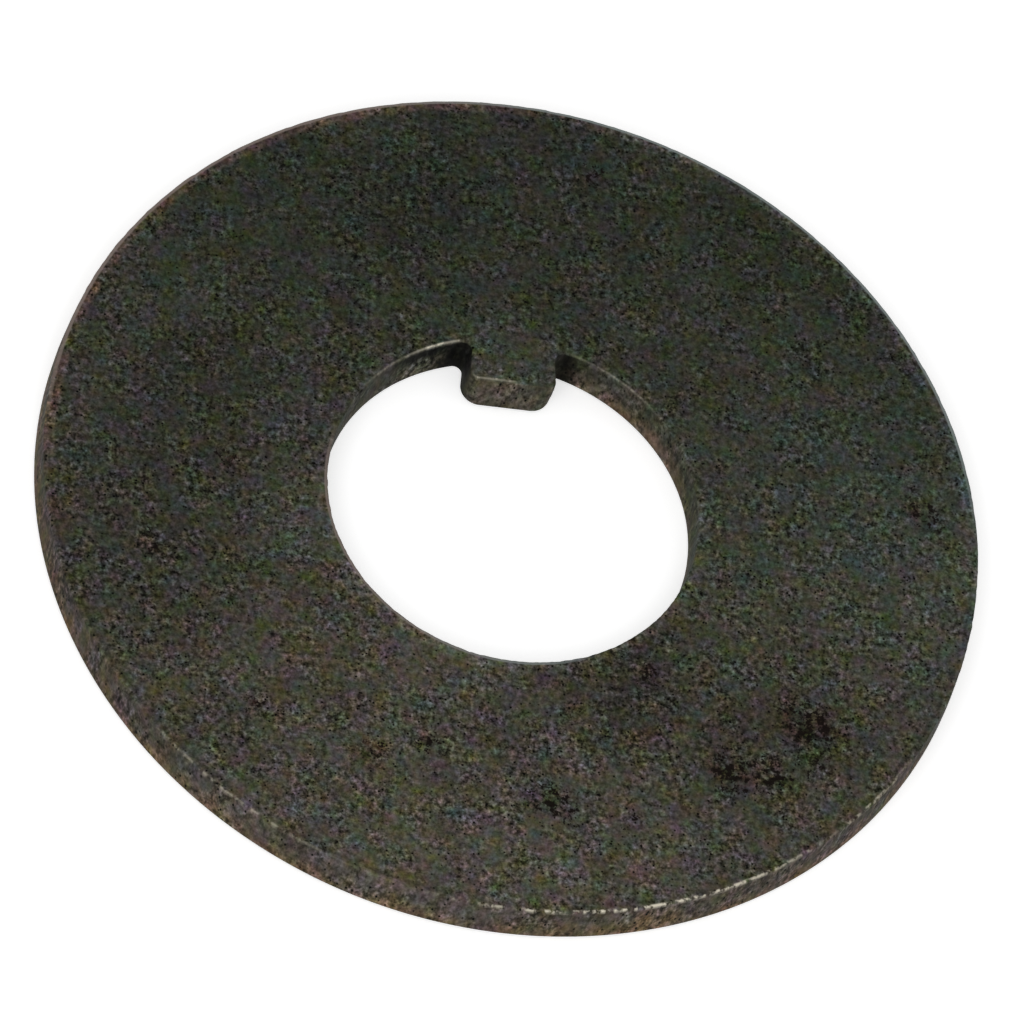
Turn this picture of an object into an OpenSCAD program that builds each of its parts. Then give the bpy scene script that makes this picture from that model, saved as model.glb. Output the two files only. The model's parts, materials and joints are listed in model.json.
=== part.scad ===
/* [Ring] */
// Outside diameter
outer_d = 49.2; // [40:0.1:70]
// Diameter of the bore
bore_d = 19.3; // [16:0.1:26]
// Thickness of the sheet
thickness = 2.5; // [1.8:0.1:4]

/* [Tab] */
// Width across the tab's two sides
tab_w = 4.6; // [3:0.1:6]
// How far the tab's tip stands in from the bore's wall
tab_reach = 2.55; // [1.5:0.05:4]
// Radius of the tab's two tip corners, seen from above
tip_corner_r = 0.7; // [0.5:0.05:1.2]
// Radius of the hollow on each side of the tab's root, seen from above
root_r = 0.4; // [0.25:0.05:0.7]

/* [Stamped edge] */
// How far the rolled edge reaches in over the lower face and up the wall
roll_size = 0.3; // [0.1:0.05:0.4]
// Height of the smooth upright band's top, above the lower face
land_h = 1.1; // [0.8:0.05:1.4]
// How far the torn upper part of the wall leans back from the smooth band
tear_lean = 0.06; // [0.02:0.01:0.15]
// Width and height of the worn break along the upper edge
edge_break = 0.12; // [0.05:0.01:0.25]

/* [Hidden] */
$fn = 128;

outer_r = outer_d / 2;
bore_r = bore_d / 2;
half_w = tab_w / 2;
// How far a shape runs past the surface that it cuts
over = 0.2;
// How deep the tab and its root run into the ring, past the bore's rolled edge
seat = roll_size + over;

// The rolled edge's curve is wider than the corner that it rounds by this factor, so it meets the lower
// face and the wall at a faint crease, as a die leaves it
roll_ease = 1.2;
roll_r = roll_ease * roll_size;
roll_centre = (roll_size + sqrt(2 * roll_r * roll_r - roll_size * roll_size)) / 2;

// Centre of the right-hand tip corner
corner_x = half_w - tip_corner_r;
corner_y = bore_r - tab_reach + tip_corner_r;

// Centre of the right-hand root hollow. Its distance from the tab's side and from the bore's wall is this
// share of its radius, so the hollow crosses both at a faint crease.
root_ease = 0.97;
root_gap = root_ease * root_r;
root_x = half_w + root_gap;
root_reach = bore_r - root_gap;
root_y = sqrt(root_reach * root_reach - root_x * root_x);

// Section of what a stamped wall lacks against a square one. The wall stands at x = 0, with its metal on
// the left and the lower face at y = 0. Below is the rolled edge, above are the leaning torn part and
// the worn break.
module edge_section() {
    lean_slope = tear_lean / (thickness - edge_break - land_h);
    difference() {
        translate([-roll_centre, -over])
            square([roll_centre + over, roll_centre + over]);
        translate([-roll_centre, roll_centre])
            circle(r = roll_r, $fn = 48);
    }
    polygon([
        [lean_slope * (land_h - roll_centre), roll_centre],
        [over, roll_centre],
        [over, thickness + over],
        [-tear_lean - edge_break - over, thickness + over],
        [-tear_lean, thickness - edge_break]
    ]);
}

// Round body with a bulging stamped wall
module post(radius) {
    rotate_extrude()
        difference() {
            square([radius, thickness]);
            translate([radius, 0])
                edge_section();
        }
}

// Round space that leaves a hollow stamped wall round itself
module well(radius) {
    rotate_extrude() {
        translate([0, -over])
            square([radius, thickness + 2 * over]);
        translate([radius, 0])
            mirror([1, 0])
                edge_section();
    }
}

// Straight body along +Y with a stamped wall at this distance on each side of its middle
module bar(side_x, length) {
    translate([0, length, 0])
        rotate([90, 0, 0])
            linear_extrude(height = length)
                difference() {
                    translate([-side_x, 0])
                        square([2 * side_x, thickness]);
                    for (flip = [0, 1])
                        mirror([flip, 0])
                            translate([side_x, 0])
                                edge_section();
                }
}

module ring() {
    difference() {
        post(outer_r);
        well(bore_r);
    }
}

// The tab lies in the plane of the ring. Posts round its tip corners, and a crosswise bar between them
// makes the straight tip.
module tab() {
    translate([0, corner_y, 0])
        bar(half_w, bore_r + seat - corner_y);
    for (side = [-1, 1])
        translate([side * corner_x, corner_y, 0])
            post(tip_corner_r);
    translate([corner_x, corner_y, 0])
        rotate([0, 0, 90])
            bar(tip_corner_r, 2 * corner_x);
}

// Metal that fills both corners between the tab and the bore, hollowed by a well in each
module root() {
    foot_x = root_x * (bore_r + seat) / root_reach;
    foot_y = root_y * (bore_r + seat) / root_reach;
    difference() {
        linear_extrude(height = thickness)
            polygon([
                [-root_x, root_y],
                [root_x, root_y],
                [foot_x, foot_y],
                [foot_x, bore_r + seat],
                [-foot_x, bore_r + seat],
                [-foot_x, foot_y]
            ]);
        for (side = [-1, 1])
            translate([side * root_x, root_y, 0])
                well(root_r);
    }
}

module washer() {
    color([0.23, 0.23, 0.21]) {
        ring();
        tab();
        root();
    }
}

washer();
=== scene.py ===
import json
import math

import bpy
from mathutils import Matrix, Vector


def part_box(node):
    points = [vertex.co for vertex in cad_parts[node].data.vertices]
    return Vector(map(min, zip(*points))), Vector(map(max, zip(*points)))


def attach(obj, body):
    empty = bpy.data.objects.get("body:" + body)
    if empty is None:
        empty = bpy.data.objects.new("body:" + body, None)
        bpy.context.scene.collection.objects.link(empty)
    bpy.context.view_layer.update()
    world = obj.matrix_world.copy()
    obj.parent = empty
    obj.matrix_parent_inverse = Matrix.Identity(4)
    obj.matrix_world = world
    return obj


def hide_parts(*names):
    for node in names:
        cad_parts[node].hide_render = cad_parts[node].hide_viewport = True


bl_info = {
    "name": "Tab washer",
    "version": (1, 0, 0),
    "blender": (4, 5, 0),
    "location": "3D View > Sidebar > Washer",
    "description": "A worn, stamped steel washer with a tab in its bore, on a pale studio floor",
    "category": "Object",
}

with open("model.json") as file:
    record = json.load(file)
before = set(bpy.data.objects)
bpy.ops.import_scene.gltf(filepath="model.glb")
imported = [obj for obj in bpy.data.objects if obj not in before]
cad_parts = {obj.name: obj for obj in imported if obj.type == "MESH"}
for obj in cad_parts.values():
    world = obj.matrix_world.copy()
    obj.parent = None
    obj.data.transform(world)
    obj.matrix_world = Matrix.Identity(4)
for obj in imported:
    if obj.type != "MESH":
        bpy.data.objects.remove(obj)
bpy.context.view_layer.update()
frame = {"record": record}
LOW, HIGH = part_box("washer")
MOUNTS = {mount["name"]: mount for mount in frame["record"]["mounts"]}
MM = 0.001

# Points of the mesh nearer to each other than this are merged
WELD = 0.002 * MM
# The stamped edge's section starts and ends on the flat faces, this far inside both edges
EDGE_MARGIN = 0.06 * MM
# How much larger the tip corners are than the wider of those two edges, at the least
CORNER_SPARE = 0.15 * MM
# Columns of faces across half of the tab's root, and over half of the rest of the ring
TAB_COLUMNS = 24
RING_COLUMNS = 246
# Rows of faces from the bore to the outside, and along the tab's root hollow, side and tip corner
RING_ROWS = 46
HOLLOW_ROWS = 12
SIDE_ROWS = 9
CORNER_ROWS = 12
# Share by which the ring's rows lie closer together at both edges, and further apart in the middle
ROW_EASE = 0.5
# Faces along each stretch of the stamped edge's section, from the upper face to the lower
SECTION = {"flat": 3, "break": 5, "torn": 8, "band": 4, "roll": 7, "foot": 2}


def eye(red, green, blue):
    """Linear colour from the red, green and blue, 0 to 255, that the eye sees."""
    return tuple(
        c / 12.92 if c <= 0.04045 else ((c + 0.055) / 1.055) ** 2.4
        for c in (red / 255, green / 255, blue / 255)
    )


# Node maths


class Value:
    """A number in a node tree. Python arithmetic on it adds the Math nodes."""

    def __init__(self, nodes, socket):
        self.nodes = nodes
        self.socket = socket

    def math(self, operation, *others):
        inputs = dict(enumerate([self, *others]))
        return self.nodes.add("ShaderNodeMath", {"operation": operation}, inputs)

    def swapped(self, operation, first):
        return self.nodes.add("ShaderNodeMath", {"operation": operation}, {0: first, 1: self})

    def __add__(self, other):
        return self.math("ADD", other)

    __radd__ = __add__

    def __sub__(self, other):
        return self.math("SUBTRACT", other)

    def __rsub__(self, other):
        return self.swapped("SUBTRACT", other)

    def __mul__(self, other):
        return self.math("MULTIPLY", other)

    __rmul__ = __mul__

    def __truediv__(self, other):
        return self.math("DIVIDE", other)

    def __rtruediv__(self, other):
        return self.swapped("DIVIDE", other)

    def __pow__(self, other):
        return self.math("POWER", other)

    def __neg__(self):
        return self.math("MULTIPLY", -1.0)

    def __abs__(self):
        return self.math("ABSOLUTE")

    def __gt__(self, other):
        return self.math("GREATER_THAN", other)

    def __lt__(self, other):
        return self.math("LESS_THAN", other)

    def least(self, other):
        return self.math("MINIMUM", other)

    def most(self, other):
        return self.math("MAXIMUM", other)

    def sin(self):
        return self.math("SINE")

    def cos(self):
        return self.math("COSINE")

    def root(self):
        return self.math("SQRT")

    def ramp(self, start, end, low=0.0, high=1.0, way="SMOOTHSTEP"):
        """From low to high as this number goes from start to end, and level beyond them."""
        return self.nodes.add(
            "ShaderNodeMapRange",
            {"interpolation_type": way, "clamp": True},
            {"Value": self, "From Min": start, "From Max": end, "To Min": low, "To Max": high},
        )

    def share(self, start, count):
        """0 before start, 1 after start plus count, and even in between."""
        return self.ramp(start, start + count, way="LINEAR")


class Triple(Value):
    """A vector or a colour in a node tree."""

    def vector(self, operation, other, slot=1):
        settings = {"operation": operation}
        return self.nodes.add("ShaderNodeVectorMath", settings, {0: self, slot: other}, kind=Triple)

    def __add__(self, other):
        return self.vector("ADD", other)

    def __mul__(self, other):
        if isinstance(other, (tuple, Triple)):
            return self.vector("MULTIPLY", other)
        return self.vector("SCALE", other, "Scale")

    def away(self, place):
        """Distance to a place."""
        settings = {"operation": "DISTANCE"}
        return self.nodes.add("ShaderNodeVectorMath", settings, {0: self, 1: place}, "Value")

    def parts(self):
        split = self.nodes.add("ShaderNodeSeparateXYZ", {}, {0: self}).socket.node
        return [Value(self.nodes, output) for output in split.outputs]


class Nodes:
    """Adds nodes to one tree."""

    def __init__(self, tree):
        self.tree = tree

    def add(self, type_name, settings, inputs, output=0, kind=Value):
        """One node, with its settings, and then the values or links of its sockets."""
        node = self.tree.nodes.new(type_name)
        for name, setting in settings.items():
            setattr(node, name, setting)
        for name, value in inputs.items():
            for given in value if isinstance(value, list) else [value]:
                if isinstance(given, Value):
                    self.tree.links.new(given.socket, node.inputs[name])
                else:
                    node.inputs[name].default_value = given
        return kind(self, node.outputs[output])

    def xyz(self, x, y, z):
        return self.add("ShaderNodeCombineXYZ", {}, {0: x, 1: y, 2: z}, kind=Triple)

    def noise(self, vector, scale, detail, roughness, seed):
        """Smooth noise, about 0 to 1, with scale waves in each unit of the vector."""
        return self.add(
            "ShaderNodeTexNoise",
            {"noise_dimensions": "4D"},
            {"Vector": vector, "W": seed, "Scale": scale, "Detail": detail, "Roughness": roughness},
        )

    def cells(self, vector, scale, seed=None):
        """Distance to the nearest of many scattered points. Without a seed, it renders faster."""
        settings = {"voronoi_dimensions": "3D" if seed is None else "4D", "feature": "F1"}
        inputs = {"Vector": vector, "Scale": scale}
        if seed is not None:
            inputs["W"] = seed
        return self.add("ShaderNodeTexVoronoi", settings, inputs)

    def position(self):
        return self.add("GeometryNodeInputPosition", {}, {}, kind=Triple)

    def inset(self):
        """Distance in from the outline, as the mesh carries it."""
        return self.add("GeometryNodeInputNamedAttribute", {"data_type": "FLOAT"}, {"Name": "inset"})

    def named(self, geometry, name, value):
        """The geometry with a value that it carries under a name."""
        return self.add(
            "GeometryNodeStoreNamedAttribute",
            {"data_type": "FLOAT", "domain": "POINT"},
            {"Geometry": geometry, "Name": name, "Value": value},
        )

    def placed(self, geometry, position):
        """The geometry with its points at new places."""
        return self.add("GeometryNodeSetPosition", {}, {"Geometry": geometry, "Position": position})

    def merged(self, parts):
        """Several meshes as one, joined where their points meet."""
        whole = self.add("GeometryNodeJoinGeometry", {}, {"Geometry": parts})
        return self.add("GeometryNodeMergeByDistance", {}, {"Geometry": whole, "Distance": WELD})

    def seen(self):
        """1 for what the camera sees straight, in a reflection or through glass, and 0 for light."""
        rays = self.add("ShaderNodeLightPath", {}, {}).socket.node.outputs
        straight, glossy, through = (
            Value(self, rays[name])
            for name in ("Is Camera Ray", "Is Glossy Ray", "Is Transmission Ray")
        )
        return straight.most(glossy).most(through)

    def mix(self, factor, first, second):
        """Number between two others."""
        inputs = {0: factor, 2: first, 3: second}
        return self.add("ShaderNodeMix", {"data_type": "FLOAT"}, inputs)

    def blend(self, factor, first, second):
        """Colour between two others."""
        inputs = {0: factor}
        for at, colour in ((6, first), (7, second)):
            inputs[at] = colour if isinstance(colour, Value) else (*colour, 1.0)
        return self.add("ShaderNodeMix", {"data_type": "RGBA"}, inputs, 2, Triple)

    def end(self, type_name, value):
        """Links a value to the first socket of the tree's last node."""
        self.tree.links.new(value.socket, self.tree.nodes.new(type_name).inputs[0])


def shader_nodes(owner):
    """The emptied shader tree of a material or a world."""
    owner.use_nodes = True
    owner.node_tree.nodes.clear()
    return Nodes(owner.node_tree)


# Sizes and colours


def length_property(name, description, default, low, high):
    """A length, with its default and limits in millimetres."""
    return bpy.props.FloatProperty(
        name=name,
        description=description,
        default=default * MM,
        min=low * MM,
        max=high * MM,
        precision=5,
        unit="LENGTH",
    )


def colour_property(name, description, colour):
    return bpy.props.FloatVectorProperty(
        name=name, description=description, default=colour, subtype="COLOR", min=0.0, max=1.0
    )


def factor_property(name, description):
    return bpy.props.FloatProperty(
        name=name, description=description, default=1.0, min=0.0, max=2.0, subtype="FACTOR"
    )


class WasherSizes(bpy.types.PropertyGroup):
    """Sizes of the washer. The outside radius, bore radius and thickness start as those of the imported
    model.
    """

    outside: length_property(
        "Outside radius",
        "Radius of the outer wall",
        min(HIGH.x, HIGH.y, -LOW.x, -LOW.y) / MM,
        20,
        35,
    )
    bore: length_property(
        "Bore radius", "Radius of the bore's wall", MOUNTS["keyed_bore"]["dims"]["r_mm"], 8, 13
    )
    thickness: length_property("Thickness", "Thickness of the sheet", HIGH.z / MM, 1.8, 4)
    tab_width: length_property("Tab width", "Width across the tab's two sides", 4.6, 3, 6)
    tab_reach: length_property(
        "Tab reach", "How far the tab's tip stands in from the bore's wall", 2.55, 2, 4
    )
    tip_corner: length_property(
        "Tip corner", "Radius of the tab's tip corners at half height, seen from above", 0.7, 0.6, 1.2
    )
    corner_change: length_property(
        "Tip corner's change",
        "How much smaller the tip corners are at the upper face, and larger at the lower",
        0.26,
        0,
        0.28,
    )
    spread: length_property(
        "Tab's spread", "How far the tab's smooth band stands out beyond its upper edge", 0.06, 0, 0.2
    )
    root_hollow: length_property(
        "Root hollow",
        "Radius of the hollow on each side of the tab's root, seen from above",
        0.4,
        0.25,
        0.7,
    )
    roll: length_property(
        "Rolled edge", "Radius of the rolled edge round the lower face", 0.3, 0.1, 0.4
    )
    band_top: length_property(
        "Smooth band", "Height of the wall's smooth band, above the lower face", 1.1, 0.8, 1.4
    )
    lean: length_property(
        "Torn wall's lean", "How far the torn upper part of the wall leans back", 0.06, 0.02, 0.12
    )
    worn: length_property(
        "Worn edge", "Radius of the worn edge round the upper face", 0.12, 0.05, 0.2
    )
    nicks: length_property("Nicks", "Depth of the deepest nick in the upper edge", 0.09, 0, 0.3)
    tear: length_property(
        "Torn wall's depth", "Depth of the roughness where the metal tore", 0.05, 0, 0.1
    )
    sag: length_property(
        "Unevenness", "Depth of the shallow waves and dents in both faces", 0.03, 0, 0.1
    )
    seed: bpy.props.IntProperty(
        name="Seed", description="Seed of the nicks, dents and roughness", default=4, min=0, max=99
    )


class WasherFinish(bpy.types.PropertyGroup):
    """Colours of the steel, as linear colours, and how strong its grain and tints are."""

    face: colour_property("Face", "Dark oxide on the tab's side of both faces", eye(47, 50, 42))
    # Painted lamp light with warmer oxide: away from the tab, nearer the lamp in front, the faces turn
    # from the colour above to this lighter one
    lamp_lit_face: colour_property("Dull face", "Lighter oxide on the faces' other side", eye(75, 72, 62))
    wall: colour_property("Wall", "Brownish film on the outer wall", eye(76, 71, 64))
    # Partly painted shade: the bore's wall keeps this dark colour left of the middle, where it faces
    # away from the lamp
    inner: colour_property("Bore wall", "Dark film on the bore's wall", eye(56, 57, 48))
    rust: colour_property("Rust", "Thin rust low on the walls", eye(96, 82, 64))
    tan: colour_property("Tan line", "Brown line inside the rim, left of the tab", eye(86, 73, 64))
    pale: colour_property("Pale line", "Grey line inside the rim, right of the tab", eye(75, 76, 70))
    # Partly painted highlight: bare steel, made bright enough that the edge's glints are painted into
    # its colour
    edge: colour_property("Worn edge", "Steel laid bare along the upper edge", eye(205, 198, 180))
    # Painted sheen: the bright room's reflection along the upper edge where the camera sees it at a
    # grazing angle, grey right of the tab and brown left of it
    sheen_grey: colour_property("Rubbed edge", "Steel rubbed grey on the edge's far side", eye(128, 136, 135))
    sheen_brown: colour_property("Brown rubbed edge", "The same edge left of the tab", eye(128, 116, 110))
    burnt: colour_property("Stains' ground", "Brown round the stains' crumbs", eye(62, 46, 37))
    stain: colour_property("Stains", "Old oil and rust burnt into the faces", eye(17, 10, 8))
    grain: factor_property("Grain", "Contrast of the fine grain")
    tint: factor_property("Tint", "Strength of the green, violet, olive and blue patches")


class WasherStage(bpy.types.PropertyGroup):
    """Floor and light."""

    floor: colour_property("Floor", "Colour of the floor, as a linear colour", (0.8, 0.8, 0.8))
    sky: bpy.props.FloatProperty(
        name="Room light",
        description="Strength of the even light from all round",
        default=0.6,
        min=0.0,
        max=2.0,
    )
    lamp: bpy.props.FloatProperty(
        name="Lamp",
        description="Power of the large soft lamp",
        default=0.8,
        min=0.0,
        max=10.0,
        unit="POWER",
    )


# Shape


def round_face(nodes, size, flat):
    """The upper face, short of both edges by the width flat.

    A round grid makes the ring and a second grid the tab. The tab's first row of points is a stretch of
    the ring's first row, from one root hollow to the other.
    """
    bore = size["bore"] + flat
    rim = size["outside"] - flat
    hollow = size["root_hollow"]
    corner = size["tip_corner"] - flat
    # Centre of the right-hand root hollow, and its angle from the tab's middle line
    reach = size["bore"] - hollow
    centre_x = size["tab_width"] * 0.5 + hollow
    centre_y = (reach * reach - centre_x * centre_x).root()
    turn = (centre_x / reach).math("ARCSINE")

    def grid(columns, rows, place):
        plain = nodes.add(
            "GeometryNodeMeshGrid",
            {},
            {
                "Size X": 2 * columns,
                "Size Y": rows,
                "Vertices X": 2 * columns + 1,
                "Vertices Y": rows + 1,
            },
        )
        column, row, _ = nodes.position().parts()
        x, y = place(column, row + rows / 2)
        return nodes.placed(plain, nodes.xyz(x, y, size["thickness"]))

    def ring_place(column, row):
        across = abs(column)
        at_tab = across.least(TAB_COLUMNS) * (turn / TAB_COLUMNS)
        beyond = (across - TAB_COLUMNS).most(0.0) * ((math.pi - turn) / RING_COLUMNS)
        angle = (at_tab + beyond) * column.math("SIGN")
        way = row / RING_ROWS
        eased = way - (way * math.tau).sin() * (ROW_EASE / math.tau)
        radius = bore + (rim - bore) * eased
        return angle.sin() * radius, angle.cos() * radius

    tab_rows = HOLLOW_ROWS + SIDE_ROWS + CORNER_ROWS

    def tab_place(column, row):
        down = tab_rows - row
        first = math.pi / 2 - turn
        swing = first + down.share(0, HOLLOW_ROWS) * (math.pi - first)
        slide = down.share(HOLLOW_ROWS, SIDE_ROWS)
        tip = down.share(HOLLOW_ROWS + SIDE_ROWS, CORNER_ROWS) * (math.pi / 2)
        straight = centre_y - (size["bore"] - size["tab_reach"] + flat) - corner
        side_x = centre_x + (hollow + flat) * swing.cos() - corner * (1 - tip.cos())
        side_y = centre_y + (hollow + flat) * swing.sin() - corner * tip.sin() - straight * slide
        fan = column * (turn / TAB_COLUMNS)
        # The rows start round, as the ring's first row is, and soon turn straight
        bulge = bore * (fan.cos() - turn.cos()) * (1 - down / tab_rows) ** 5
        return side_x * fan.sin() / turn.sin(), side_y + bulge

    ring = grid(TAB_COLUMNS + RING_COLUMNS, RING_ROWS, ring_place)
    tab = grid(TAB_COLUMNS, tab_rows, tab_place)
    return nodes.merged([tab, ring])


def edge_section(nodes, size, flat):
    """Section of the stamped edge from the upper face to the lower: out along X and down along Y."""
    line = nodes.add(
        "GeometryNodeMeshLine", {}, {"Count": sum(SECTION.values()) + 1, "Offset": (1, 0, 0)}
    )
    at = nodes.position().parts()[0]
    share = {}
    start = 0
    for name, count in SECTION.items():
        share[name] = at.share(start, count)
        start += count
    breaking = share["break"] * (math.pi / 2)
    rolling = share["roll"] * (math.pi / 2)
    inset = (
        flat
        - (flat - size["lean"] - size["worn"]) * share["flat"]
        - size["worn"] * breaking.sin()
        - size["lean"] * share["torn"]
        + size["roll"] * (1 - rolling.cos())
        + (flat - size["roll"]) * share["foot"]
    )
    drop = (
        size["worn"] * (1 - breaking.cos())
        + (size["thickness"] - size["worn"] - size["band_top"]) * share["torn"]
        + (size["band_top"] - size["roll"]) * share["band"]
        + size["roll"] * rolling.sin()
    )
    bent = nodes.placed(nodes.named(line, "inset", inset), nodes.xyz(flat - inset, drop, 0.0))
    return nodes.add("GeometryNodeMeshToCurve", {}, {"Mesh": bent})


def outlines(nodes, size, face):
    """Curves round the face's two outlines, with the metal on their left."""
    # An outline's mesh edges have one face beside them, and all others have two
    faces_beside = nodes.add("GeometryNodeInputMeshEdgeNeighbors", {}, {})
    loops = nodes.add("GeometryNodeMeshToCurve", {}, {"Mesh": face, "Selection": faces_beside < 1.5})
    x, y, _ = nodes.position().parts()
    run_x, run_y, _ = nodes.add("GeometryNodeInputTangent", {}, {}, kind=Triple).parts()
    turning = x * run_y - y * run_x
    outer = (x * x + y * y).root() - (size["bore"] + size["outside"]) * 0.5
    wrong = nodes.add(
        "GeometryNodeFieldOnDomain",
        {"data_type": "FLOAT", "domain": "POINT"},
        {0: -turning * outer.math("SIGN")},
    )
    turned = nodes.add("GeometryNodeReverseCurve", {}, {"Curve": loops, "Selection": wrong > 0.0})
    return nodes.add("GeometryNodeSetCurveNormal", {"mode": "Z_UP"}, {"Curve": turned})


def washer_tree(sizes, material):
    """Geometry Nodes that stamp the washer and wear it, and the identifiers of the tree's inputs."""
    tree = bpy.data.node_groups.new("Stamped washer", "GeometryNodeTree")
    nodes = Nodes(tree)
    keys = [key for key in sizes.bl_rna.properties.keys() if key not in ("rna_type", "name")]
    inputs = {}
    for key in keys:
        given = sizes.bl_rna.properties[key]
        kind = "NodeSocketInt" if given.type == "INT" else "NodeSocketFloat"
        socket = tree.interface.new_socket(given.name, in_out="INPUT", socket_type=kind)
        inputs[key] = socket.identifier
    tree.interface.new_socket("Washer", in_out="OUTPUT", socket_type="NodeSocketGeometry")
    entry = tree.nodes.new("NodeGroupInput")
    size = {key: Value(nodes, entry.outputs[at]) for at, key in enumerate(keys)}

    flat = size["roll"].most(size["lean"] + size["worn"]) + EDGE_MARGIN
    bare = round_face(nodes, size, flat)
    loops = outlines(nodes, size, bare)
    wire = nodes.add("GeometryNodeCurveToMesh", {}, {"Curve": loops})
    away = nodes.add("GeometryNodeProximity", {"target_element": "EDGES"}, {0: wire}, 1)
    face = nodes.named(bare, "inset", away + flat)
    section = edge_section(nodes, size, flat)
    wall = nodes.add("GeometryNodeCurveToMesh", {}, {"Curve": loops, "Profile Curve": section})
    down = nodes.xyz(0.0, 0.0, -size["thickness"])
    lowered = nodes.add("GeometryNodeTransform", {}, {"Geometry": face, "Translation": down})
    lower = nodes.add("GeometryNodeFlipFaces", {}, {"Mesh": lowered})
    formed = tab_form(nodes, size, nodes.merged([face, lower, wall]))
    worn = wear(nodes, size, formed)
    smooth = nodes.add("GeometryNodeSetShadeSmooth", {}, {"Geometry": worn})
    real = nodes.add("GeometryNodeRealizeInstances", {}, {"Geometry": smooth})
    painted = nodes.add("GeometryNodeSetMaterial", {}, {"Geometry": real, "Material": material})
    nodes.end("NodeGroupOutput", painted)
    return tree, inputs


def tab_form(nodes, size, solid):
    """Spreads the tab towards its lower face, and makes its tip corners crisp above and full below."""
    # How far the change of form reaches along the sides, up from the smooth band, and beside the tab
    side_reach = 0.95 * MM
    spread_height = 1.3 * MM
    beside = 0.3 * MM
    # Keeps a division sound in the middle of a corner
    tiny = 1e-9
    x, y, z = nodes.position().parts()
    # Distances to the right of a tip corner's centre, and ahead of it towards the tip
    middle = size["tab_width"] * 0.5 - size["tip_corner"]
    right = abs(x) - middle
    ahead = size["bore"] - size["tab_reach"] + size["tip_corner"] - y
    reach = (right.most(0.0) ** 2 + ahead.most(0.0) ** 2).root().most(tiny)
    sideways = right.most(0.0) / reach
    forwards = ahead.most(0.0) / reach
    # Both shrink to nothing away from the corner, along the side and along the tip
    along_side = (1 + ahead.least(0.0) / side_reach).most(0.0)
    along_tip = (1 + right.least(0.0) / middle).most(0.0)
    on_tab = (size["tab_width"] * 0.5 + beside > abs(x)) * (y > size["bore"] * 0.5)
    kept = nodes.inset().ramp(size["roll"], size["tip_corner"], 1.0, 0.0) * on_tab
    height = z / size["thickness"]
    change = size["corner_change"] * height.ramp(0.1, 0.95, -1.0, 1.0) * kept
    spread = (z - size["band_top"]).ramp(0.0, spread_height, 1.0, 0.3) * size["spread"] * kept
    out = change * (1 - sideways) * along_tip + spread * sideways * along_side
    on = change * (1 - forwards) * along_side + spread * forwards
    push = nodes.xyz(out * x.math("SIGN"), -on, 0.0)
    return nodes.add("GeometryNodeSetPosition", {}, {"Geometry": solid, "Offset": push})


def wear(nodes, size, solid):
    """Nicks in the upper edge, torn roughness on the wall, and shallow waves and dents, cut inward."""
    nick_reach = 0.5 * MM
    # The torn part starts little by little, from just under the smooth band's top
    tear_start = size["band_top"] - 0.15 * MM
    tear_full = size["band_top"] + 0.2 * MM
    position = nodes.position()
    normal = nodes.add("GeometryNodeInputNormal", {}, {}, kind=Triple)
    seed = size["seed"]
    spot = position * (1 / MM)
    z = position.parts()[2]
    upright = 1 - abs(normal.parts()[2])
    # Distance from the upper edge
    away = ((nodes.inset() - size["lean"]) ** 2 + (size["thickness"] - z) ** 2).root()
    near = away.ramp(0.0, nick_reach, 1.0, 0.0)
    nick = nodes.noise(spot, 0.7, 3.0, 0.6, seed).ramp(0.55, 0.78)
    chip = nodes.noise(spot, 2.2, 2.0, 0.6, seed + 7).ramp(0.45, 0.75) * 0.3
    drag = nodes.noise(spot * (1.0, 1.0, 0.22), 2.6, 3.0, 0.65, seed + 3)
    torn = upright * z.ramp(tear_start, tear_full, 0.12, 1.0)
    wave = nodes.noise(spot, 0.07, 2.0, 0.5, seed + 11).ramp(0.3, 0.7)
    dent = nodes.cells(spot, 0.16, seed + 5).ramp(0.05, 0.28, 1.0, 0.0)
    depth = (
        size["nicks"] * near * (nick + chip)
        + size["tear"] * torn * drag.ramp(0.3, 0.75)
        + size["sag"] * (1 - upright) * (wave * 0.6 + dent * 0.4)
    )
    x, y, z = (position + normal * -depth).parts()
    # Nothing stands out beyond the plain washer
    held = (size["outside"] / (x * x + y * y).root()).least(1.0)
    return nodes.placed(solid, nodes.xyz(x * held, y * held, z.most(0.0).least(size["thickness"])))


# Finish


# Places on the washer in millimetres: across, towards the tab, radius, and strength where it isn't 1.
# First come the stains on the upper face.
STAINS = (
    (15.5, -11.6, 1.8, 0.85),
    (11.2, -14.9, 1.5, 0.8),
    (13.3, -14.8, 1.4, 0.8),
    (15.8, -14.0, 1.1, 0.6),
    (1.9, -18.1, 1.7, 0.8),
    (6.1, -18.5, 0.7, 0.6),
    (7.0, -9.8, 0.9, 0.6),
    (-4.4, -15.2, 0.8, 0.6),
    (-7.4, -16.1, 1.1, 0.7),
    (-13.5, -14.1, 0.8, 0.7),
    (-14.8, 0.5, 0.7, 0.7),
    (-18.8, -5.2, 0.8, 0.6),
    (4.4, 20.5, 0.9, 0.6),
    (21.8, 2.2, 1.4, 0.5),
)
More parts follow.
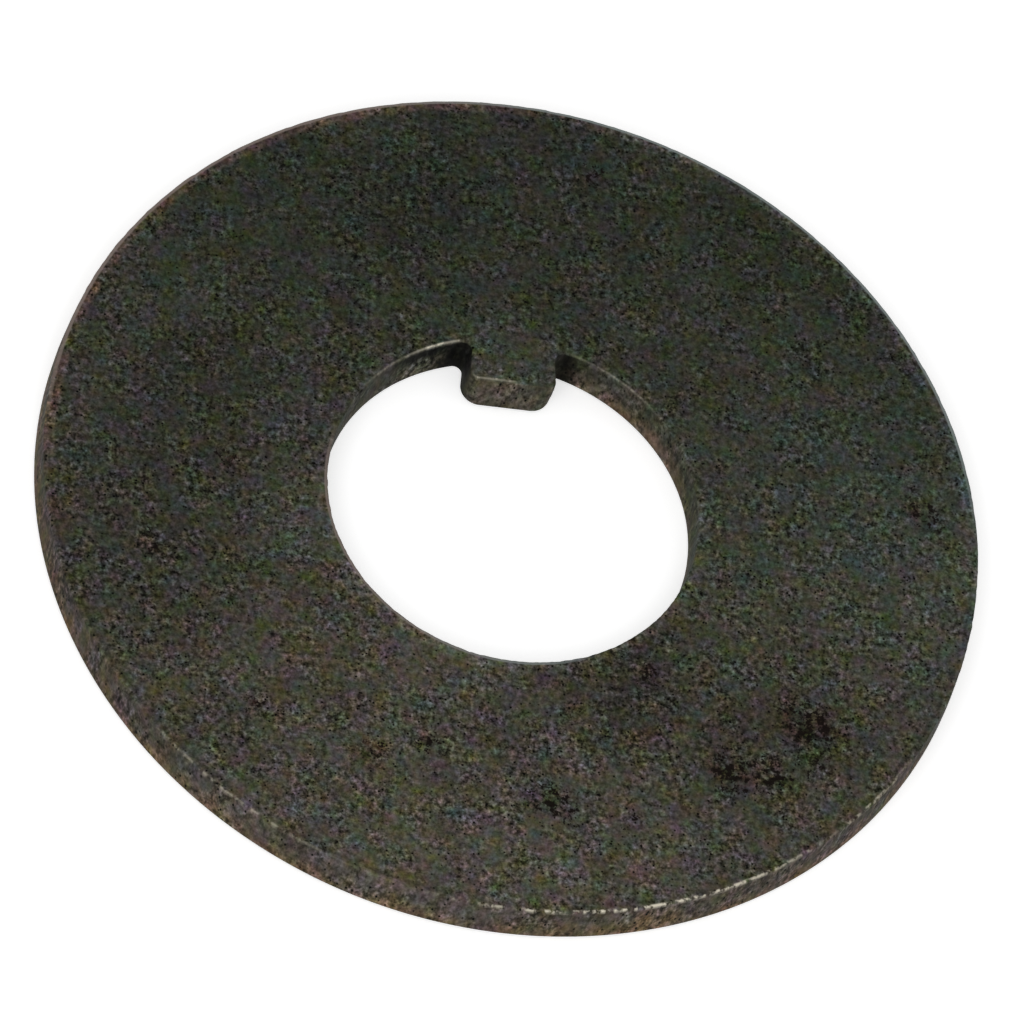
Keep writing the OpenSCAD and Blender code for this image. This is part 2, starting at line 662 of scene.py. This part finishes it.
# Broad darker places, and lighter ones on the tab, along the bore and along the rim
SHADES = (
    (13.5, -13.0, 9.0, 0.25),
    (-17.5, -1.0, 9.0, 0.18),
    (6.2, -10.4, 7.0, 0.3),
    (-18.8, -6.6, 7.0, 0.26),
    (-16.6, 5.3, 5.0, 0.2),
    (-5.0, 16.6, 5.0, 0.16),
    (0.5, -15.3, 3.5, 0.14),
    (12.0, -20.2, 3.0, 0.12),
    (-14.6, -15.5, 4.5, 0.1),
)
LIGHTER = (
    (0.0, 8.9, 3.6, 0.14),
    (-4.8, -9.5, 4.5, 0.08),
    (-10.1, -1.8, 5.5, 0.07),
    (0.5, -21.6, 4.5, 0.08),
    (17.4, -16.3, 3.5, 0.09),
    (-6.7, -22.5, 3.5, 0.06),
    (23.4, -1.5, 4.0, 0.06),
    (8.2, 22.3, 3.5, 0.08),
    (-8.3, 22.2, 3.5, 0.06),
    (-19.2, 10.8, 5.0, 0.06),
)
# Where the face is a little cooler
COOLER = ((19.0, 1.0, 14.0, 0.13),)
# Where the bore's upper edge is bare steel with a painted glint: by the tab, along its tip, and faintly
# further off
GLINTS = ((-3.9, 8.8, 2.8), (-6.8, 7.1, 2.6, 0.3), (-1.2, 7.05, 1.7, 0.7), (5.6, 8.0, 3.6, 0.3))
# Where the outer edge is knocked bare with a painted highlight, on the side away from the tab, strongest
# where it faces the lamp
RIM_GLINTS = ((7.0, -23.6, 14.0), (-15.0, -19.5, 9.0, 0.3), (18.9, -15.7, 4.0, 0.6))
# Middles of the two corners beside the tab, painted black as shade, and of the painted shade on the
# bore's wall left of them
ROOT_SHADES = ((-2.8, 8.7, 2.0), (2.9, 8.9, 1.2, 0.93))
POCKET_SHADE_PLACES = ((-4.7, 8.4, 2.6),)
# Share of a place's radius over which it has its full strength
CORE = 0.2
# Layers of noise: waves per millimetre, detail, roughness and seed
LAYERS = {
    "grain": (3.3, 2.0, 0.6, 0.0),
    "fine": (8.0, 1.0, 0.5, 3.0),
    "cloud": (0.3, 3.0, 0.55, 5.0),
    "patchy": (0.9, 2.0, 0.5, 7.0),
    "mauve": (1.1, 2.0, 0.6, 9.0),
    "blue": (1.2, 2.0, 0.6, 13.0),
    "broad": (0.7, 2.0, 0.5, 15.0),
    "rusty": (0.35, 3.0, 0.6, 19.0),
    "wander": (1.0, 3.0, 0.7, 21.0),
    "ground": (0.9, 2.0, 0.6, 25.0),
    "crumbs": (3.0, 2.0, 0.6, 27.0),
    "mottled": (1.8, 2.0, 0.6, 33.0),
    "beads": (2.8, 2.0, 0.6, 41.0),
}
# Pale and black specks per millimetre
PALE_SPECKS = 1.55
BLACK_SPECKS = 2.5
# Distance in from the outline of the bare line with its painted glints along the upper edge, and of the
# painted sheen
BARE_GLINT_MIDDLE = 0.14
SHEEN_MIDDLE = 0.17
# Lighter and darker add up as the eye sees them, down to the darkest, and this power makes their sum a
# factor on a linear colour
TONE_POWER = 2.4
DARKEST = 0.08


def near_any(spot, places):
    """Strength of the strongest of several places, round as seen from above, and 0 outside them all."""
    level = spot * (1.0, 1.0, 0.0)
    share = 0.0
    for across, up, radius, *strength in places:
        away = level.away((across, up, 0.0))
        share = away.ramp(CORE * radius, radius, *(strength or [1.0]), 0.0).most(share)
    return share


class Skin:
    """Where a point of the washer's surface lies, in millimetres, and the grain that it has there."""

    def __init__(self, nodes):
        self.nodes = nodes
        place = nodes.add("ShaderNodeTexCoord", {}, {}, "Object", Triple) * (1 / MM)
        inset = nodes.add("ShaderNodeAttribute", {"attribute_name": "inset"}, {}, "Fac")
        self.x, self.y, self.z = place.parts()
        self.inset = inset * (1 / MM)
        # Depth below the upper face, and 1 at that face and just below it
        self.below = HIGH.z / MM - self.z
        self.top = self.below.ramp(0.12, 0.28, 1.0, 0.0)
        # 1 on the outer side of the ring and 0 on the bore's, and 1 on the walls and 0 on the faces
        self.outer = (self.x * self.x + self.y * self.y).root().ramp(16.0, 18.0)
        self.wall = self.below.ramp(0.05, 0.16) * self.z.ramp(0.0, 0.22)
        # The walls' grain is a little drawn out upwards
        self.spot = place * (1.0, 1.0, 0.6)
        self.grain = self.swing("grain")
        self.fine = self.swing("fine")
        self.cloud = self.swing("cloud")
        # Painted shade on the bore's wall left of the tab, where that wall faces away from the lamp
        self.pocket_shade = self.near(POCKET_SHADE_PLACES) * self.wall * (1 - self.outer)

    def layer(self, name):
        """A layer of noise, about 0 to 1."""
        return self.nodes.noise(self.spot, *LAYERS[name])

    def swing(self, name):
        """The same layer, with its middle at 0."""
        return self.layer(name) - 0.5

    def specks(self, scale):
        """Distance to the middle of the nearest speck."""
        return self.nodes.cells(self.spot, scale)

    def near(self, places):
        return near_any(self.spot, places)


def grain_light(skin, finish):
    """Light and dark of the fine grain, stronger in some places, with pale and black specks."""
    patchy = skin.layer("patchy").ramp(0.35, 0.65, 0.55, 1.4)
    pale = skin.specks(PALE_SPECKS).ramp(0.05, 0.125, 1.0, 0.0)
    black = skin.specks(BLACK_SPECKS).ramp(0.06, 0.2, 1.0, 0.0)
    # The grain is stronger in the painted shade left of the tab
    contrast = (1.06 - skin.wall * 0.05 + skin.pocket_shade * 0.6) * finish.grain
    return ((skin.grain * 2.15 + skin.fine * 0.8 - black * 0.95) * patchy + pale * 0.1) * contrast


def light_and_dark(skin, light):
    """Factor on the colour, from the grain's light, the clouds and the broad places."""
    broad = skin.swing("broad") * 0.35 + skin.cloud * 0.25
    broad = broad - skin.near(SHADES) * 0.5 + skin.near(LIGHTER)
    return (1 + light + broad).most(DARKEST) ** TONE_POWER


def stain_share(skin):
    """1 in the stains and 0 off them. The grain frays their edges, and a slow noise bends them."""
    frayed = skin.spot + skin.nodes.xyz(skin.grain, skin.fine, 0.0) * 3.0
    wander = skin.swing("wander") * 3.0
    return near_any(frayed + skin.nodes.xyz(wander, -wander, 0.0), STAINS)


def tint_patches(skin, finish, stain, light):
    """Factor on the colour, in patches a few grains wide.

    They are fainter on the walls and stronger in the stains. The light grains are the bluer ones.
    """
    strength = (0.87 - 0.3 * skin.wall + stain * 0.4) * finish.tint
    mauve = skin.swing("mauve") * strength
    blue = skin.swing("blue") * strength
    cooler = skin.near(COOLER)
    return skin.nodes.xyz(
        1 + mauve * 1.45 - blue * 0.2,
        1 - mauve * 0.5 - blue * 0.2 + cooler,
        1 + mauve * 0.7 + blue * (2.5 - stain) + light * 0.3 + cooler,
    )


def face_colour(skin, finish, stain):
    """Oxide, lighter and warmer away from the tab with painted lamp light, with a brown or grey line
    inside the rim's far side and brown ground in the stains.
    """
    # Painted lamp light: 1 away from the tab, nearest the lamp in front, where the faces are painted
    # lighter
    towards = (skin.y + skin.cloud * 20).ramp(-26.0, 22.0, 1.0, 0.0)
    colour = skin.nodes.blend(towards, finish.face, finish.lamp_lit_face)
    line = skin.nodes.blend(skin.x.ramp(-2.0, 8.0), finish.tan, finish.pale)
    far_rim = skin.inset.ramp(0.4, 0.85, 0.85, 0.0) * skin.y.ramp(-8.0, 2.0) * skin.outer
    colour = skin.nodes.blend(far_rim, colour, line)
    ground = skin.layer("ground").ramp(0.4, 0.6) * stain
    return skin.nodes.blend(ground * 0.85, colour, finish.burnt) * (1 - stain * 0.1)


def wall_colour(skin, finish):
    """Brown film, rusty towards the lower edge and in the bore. Painted shade darkens the outer wall's
    sides and blackens the bore's wall beside the tab, and painted light brightens the tab's tip and,
    with the rust, the bore's wall right of the middle.
    """
    x, y, z = skin.x, skin.y, skin.z
    rusty = skin.layer("rusty") + (1.2 - z) * 0.2 + x.ramp(-24.0, -12.0, 0.08, 0.0)
    outside = skin.nodes.blend(rusty.ramp(0.38, 0.68, 0.0, 0.9), finish.wall, finish.rust)
    # 1 on the tab's tip, and the rust in the bore, most of it right of the middle and towards the tab.
    # This rust is partly painted light, on the bore's wall that faces the lamp.
    tip = (abs(x) < 2.6) * y.ramp(5.0, 5.5) * y.ramp(7.3, 7.8, 1.0, 0.0)
    bore = x.ramp(1.0, 5.0, 0.1, 0.85) * z.ramp(0.4, 1.8, 1.0, 0.1) * y.ramp(0.0, 6.0, 0.3, 1.0)
    inside = skin.nodes.blend(bore.most(tip * 0.2), finish.inner, finish.rust)
    # Painted shade: the outer wall is darker towards both sides, where it faces away from the lamp in
    # front
    colour = skin.nodes.blend(skin.outer, inside, outside * abs(x).ramp(13.0, 23.0, 1.0, 0.82))
    mottled = skin.layer("mottled").ramp(0.35, 0.65, 0.85, 1.06)
    # Painted shade: black in the corners beside the tab and high on the bore's wall left of them, where
    # the tab and the wall keep the lamp's light off
    painted_shade = skin.near(ROOT_SHADES).most(skin.pocket_shade * z.ramp(1.4, 1.9)) * (1 - skin.outer) * mottled
    # Painted light: the tab's tip is lighter, and so is the lower part of the painted shade left of the
    # tab
    lit = 1 + 0.12 * tip + skin.pocket_shade * z.ramp(1.2, 1.7, 0.5, 0.0)
    return colour * ((1 - 0.97 * painted_shade) * lit)


def edge_lines(skin):
    """Factor on the colour, for a dark line inside the rim's worn edge and a pale one round the bore."""
    # A darker line inside the rim's worn edge
    rim_dark_line = skin.inset.ramp(0.26, 0.36) * skin.inset.ramp(0.4, 0.6, 1.0, 0.0)
    rim_dark_line = rim_dark_line * skin.below.ramp(0.1, 0.2, 1.0, 0.0)
    by_bore = (1 - skin.outer) * (1 - skin.wall) * skin.y.ramp(-7.0, -2.0, 1.0, 0.5)
    pale = by_bore * skin.inset.ramp(0.4, 1.0, 0.35, 0.0)
    return (1 - 0.25 * rim_dark_line * skin.outer) * (1 + pale)


def edge_sheen_share(skin):
    """1 where a painted sheen, the bright room's reflection, lies on the upper edge: on the rim's far
    side, and round the bore's near side.
    """
    far = skin.outer * skin.y.ramp(0.0, 8.0, 0.0, 0.8)
    near = (1 - skin.outer) * (skin.y + skin.x * 0.9).ramp(-9.0, -4.0, 0.7, 0.0)
    line = abs(skin.inset - SHEEN_MIDDLE).ramp(0.06, 0.14, 1.0, 0.0)
    return far.most(near) * (line * skin.top)


def bare_glint_share(skin):
    """1 where the upper edge is bare steel in beads with a painted highlight: on the rim's near side,
    strongest where it faces the lamp, and by the tab.
    """
    beads = skin.layer("beads").ramp(0.43, 0.62)
    # The line is wider on the rim
    line = (abs(skin.inset - BARE_GLINT_MIDDLE) - skin.outer * 0.02).ramp(0.0, 0.11, 1.0, 0.0)
    tab_side = abs(skin.x).ramp(2.7, 3.0, 1.0, 0.0) * skin.y.ramp(7.3, 7.6)
    by_tab = skin.near(GLINTS) * beads.most(0.4) * (1 - tab_side)
    by_rim = skin.near(RIM_GLINTS).most(0.04) * beads * skin.outer
    return line * skin.top * by_tab.most(by_rim)


def steel(finish):
    """Dark oxide with a fine many-coloured grain, brown walls, a bright worn edge of bare steel with
    painted glints and a painted sheen, painted lamp light and shade, and stains.
    """
    material = bpy.data.materials.new("Oxidised steel")
    nodes = shader_nodes(material)
    skin = Skin(nodes)
    light = grain_light(skin, finish)
    stain = stain_share(skin)
    crumbs = (skin.layer("crumbs") + stain * 0.13).ramp(0.55, 0.67) * stain.ramp(0.0, 0.3)
    # Painted sheen along the upper edge, brown left of the tab and grey right of it
    edge_sheen = nodes.blend(skin.x.ramp(-10.0, 4.0), finish.sheen_brown, finish.sheen_grey)
    # Bare steel along the upper edge with painted glints
    bare = bare_glint_share(skin)

    # From the oxide, with its painted lamp light and painted shade, up to the stains' crumbs, the edge's
    # painted sheen and its bare steel with painted glints
    colour = nodes.blend(skin.wall, face_colour(skin, finish, stain), wall_colour(skin, finish))
    colour = colour * tint_patches(skin, finish, stain, light) * light_and_dark(skin, light)
    colour = colour * edge_lines(skin)
    colour = nodes.blend(crumbs * 0.78, colour * (1 - crumbs * 0.8), finish.stain)
    colour = nodes.blend(edge_sheen_share(skin), colour, edge_sheen)
    colour = nodes.blend(bare, colour, finish.edge)
    relief = {"Strength": 0.5, "Distance": 0.02 * MM, "Height": skin.grain}
    shader = nodes.add(
        "ShaderNodeBsdfPrincipled",
        {},
        {
            "Base Color": colour,
            "Roughness": 0.7 + skin.grain * 0.3 - bare * 0.25,
            "Metallic": 0.12 + bare * 0.3,
            "Specular IOR Level": 0.04,
            "Normal": nodes.add("ShaderNodeBump", {}, relief, kind=Triple),
        },
    )
    nodes.end("ShaderNodeOutputMaterial", shader)
    return material


# Stage


WHITE = (1.0, 1.0, 1.0, 1.0)
# Half the floor's width, and how far it lies below the washer
FLOOR_HALF = 0.6
FLOOR_DROP = 0.02 * MM
# Strength of the floor's glow, where 1 is white
FLOOR_GLOW = 0.5
LAMP_SIZE = 0.3
LAMP_PLACE = Vector((-0.12, -0.3, 0.3))
# The camera as fitted to the photograph: how far it is turned round the washer, tilted and rolled, its
# distance and lens, and by how many of the photograph's pixels its middle is shifted
CAMERA_TURN = math.radians(18.4)
CAMERA_TILT = 0.6061
CAMERA_ROLL = 0.3835
CAMERA_DISTANCE = 0.691
CAMERA_LENS = 473
PHOTO_WIDTH = 1025
SHIFT_ACROSS = 3.6
SHIFT_UP = -0.4


def floor_material(colour):
    """Pale floor that keeps shadows and looks white to the camera and in reflections."""
    material = bpy.data.materials.new("Studio floor")
    nodes = shader_nodes(material)
    paint = nodes.add("ShaderNodeBsdfDiffuse", {}, {"Color": (*colour, 1.0)})
    glow = nodes.add(
        "ShaderNodeEmission", {}, {"Color": WHITE, "Strength": nodes.seen() * FLOOR_GLOW}
    )
    nodes.end("ShaderNodeOutputMaterial", nodes.add("ShaderNodeAddShader", {}, {0: paint, 1: glow}))
    return material


class TAB_WASHER_OT_washer(bpy.types.Operator):
    """Make the stamped steel washer from its sizes and colours"""

    bl_idname = "tab_washer.washer"
    bl_label = "Make washer"

    def execute(self, context):
        sizes = context.scene.tab_washer_sizes
        finish = context.scene.tab_washer_finish
        if sizes.tip_corner < max(sizes.roll, sizes.lean + sizes.worn) + CORNER_SPARE:
            raise ValueError("the tip corner is too small for the rolled or worn edge")
        material = steel(finish)
        tree, inputs = washer_tree(sizes, material)
        washer = bpy.data.objects.new("stamped_washer", bpy.data.meshes.new("stamped_washer"))
        context.scene.collection.objects.link(washer)
        modifier = washer.modifiers.new("Stamped washer", "NODES")
        modifier.node_group = tree
        for key, identifier in inputs.items():
            modifier[identifier] = getattr(sizes, key)
        graph = context.evaluated_depsgraph_get()
        made = bpy.data.meshes.new_from_object(washer.evaluated_get(graph))
        if not made.polygons:
            raise RuntimeError("the washer's tree made no faces")
        made.materials.clear()
        made.materials.append(material)
        made.polygons.foreach_set("material_index", [0] * len(made.polygons))
        washer.modifiers.clear()
        washer.data = made
        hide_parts("washer")
        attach(washer, "root")
        return {"FINISHED"}


class TAB_WASHER_OT_stage(bpy.types.Operator):
    """Make the pale floor, the soft light and the camera at the photograph's angle"""

    bl_idname = "tab_washer.stage"
    bl_label = "Make stage"

    def execute(self, context):
        scene = context.scene
        stage = scene.tab_washer_stage
        self.floor(scene, stage)
        self.light(scene, stage)
        self.camera(scene)
        scene.view_settings.view_transform = "Standard"
        return {"FINISHED"}

    def floor(self, scene, stage):
        ways = ((-1, -1), (1, -1), (1, 1), (-1, 1))
        corners = [(x * FLOOR_HALF, y * FLOOR_HALF, -FLOOR_DROP) for x, y in ways]
        mesh = bpy.data.meshes.new("floor")
        mesh.from_pydata(corners, [], [(0, 1, 2, 3)])
        mesh.materials.append(floor_material(stage.floor))
        floor = bpy.data.objects.new("floor", mesh)
        scene.collection.objects.link(floor)

    def light(self, scene, stage):
        """Even light from all round, white where it is seen, and a soft lamp in front and above."""
        scene.world = bpy.data.worlds.new("Studio room")
        nodes = shader_nodes(scene.world)
        strength = nodes.mix(nodes.seen(), stage.sky, 1.0)
        room = nodes.add("ShaderNodeBackground", {}, {"Color": WHITE, "Strength": strength})
        nodes.end("ShaderNodeOutputWorld", room)
        lamp = bpy.data.lights.new("soft_lamp", "AREA")
        lamp.shape = "SQUARE"
        lamp.size = LAMP_SIZE
        lamp.energy = stage.lamp
        holder = bpy.data.objects.new("soft_lamp", lamp)
        holder.location = LAMP_PLACE
        holder.rotation_euler = (-LAMP_PLACE).to_track_quat("-Z", "Y").to_euler()
        scene.collection.objects.link(holder)

    def camera(self, scene):
        """Camera at the photograph's angle, aimed at the washer's middle."""
        middle = Vector((0, 0, HIGH.z / 2))
        axes = (
            Matrix.Rotation(-CAMERA_ROLL, 3, "Z")
            @ Matrix.Rotation(-CAMERA_TILT, 3, "X")
            @ Matrix.Rotation(CAMERA_TURN, 3, "Z")
        )
        camera = bpy.data.cameras.new("camera")
        camera.sensor_width = 36
        camera.lens = CAMERA_LENS
        camera.shift_x = SHIFT_ACROSS / PHOTO_WIDTH
        camera.shift_y = SHIFT_UP / PHOTO_WIDTH
        camera.clip_start = 0.05
        camera.clip_end = 10
        holder = bpy.data.objects.new("camera", camera)
        holder.matrix_world = Matrix.LocRotScale(
            middle + axes[2] * CAMERA_DISTANCE, axes.transposed().to_quaternion(), None
        )
        scene.collection.objects.link(holder)
        scene.camera = holder


class TAB_WASHER_PT_panel(bpy.types.Panel):
    """Sizes, colours and light of the washer, and the buttons that make it"""

    bl_idname = "TAB_WASHER_PT_panel"
    bl_label = "Tab washer"
    bl_space_type = "VIEW_3D"
    bl_region_type = "UI"
    bl_category = "Washer"

    def draw(self, context):
        scene = context.scene
        parts = (
            ("Sizes", scene.tab_washer_sizes, TAB_WASHER_OT_washer),
            ("Finish", scene.tab_washer_finish, None),
            ("Stage", scene.tab_washer_stage, TAB_WASHER_OT_stage),
        )
        for title, group, operator in parts:
            box = self.layout.box()
            box.label(text=title)
            for key in group.bl_rna.properties.keys():
                if key not in ("rna_type", "name"):
                    box.prop(group, key)
            if operator:
                box.operator(operator.bl_idname)


GROUPS = {
    "tab_washer_sizes": WasherSizes,
    "tab_washer_finish": WasherFinish,
    "tab_washer_stage": WasherStage,
}
CLASSES = (*GROUPS.values(), TAB_WASHER_OT_washer, TAB_WASHER_OT_stage, TAB_WASHER_PT_panel)


def register():
    for cls in CLASSES:
        bpy.utils.register_class(cls)
    for name, group in GROUPS.items():
        setattr(bpy.types.Scene, name, bpy.props.PointerProperty(type=group))


def unregister():
    for name in GROUPS:
        delattr(bpy.types.Scene, name)
    for cls in reversed(CLASSES):
        bpy.utils.unregister_class(cls)


def main():
    register()
    bpy.ops.tab_washer.washer()
    bpy.ops.tab_washer.stage()


if __name__ == "__main__":
    main()
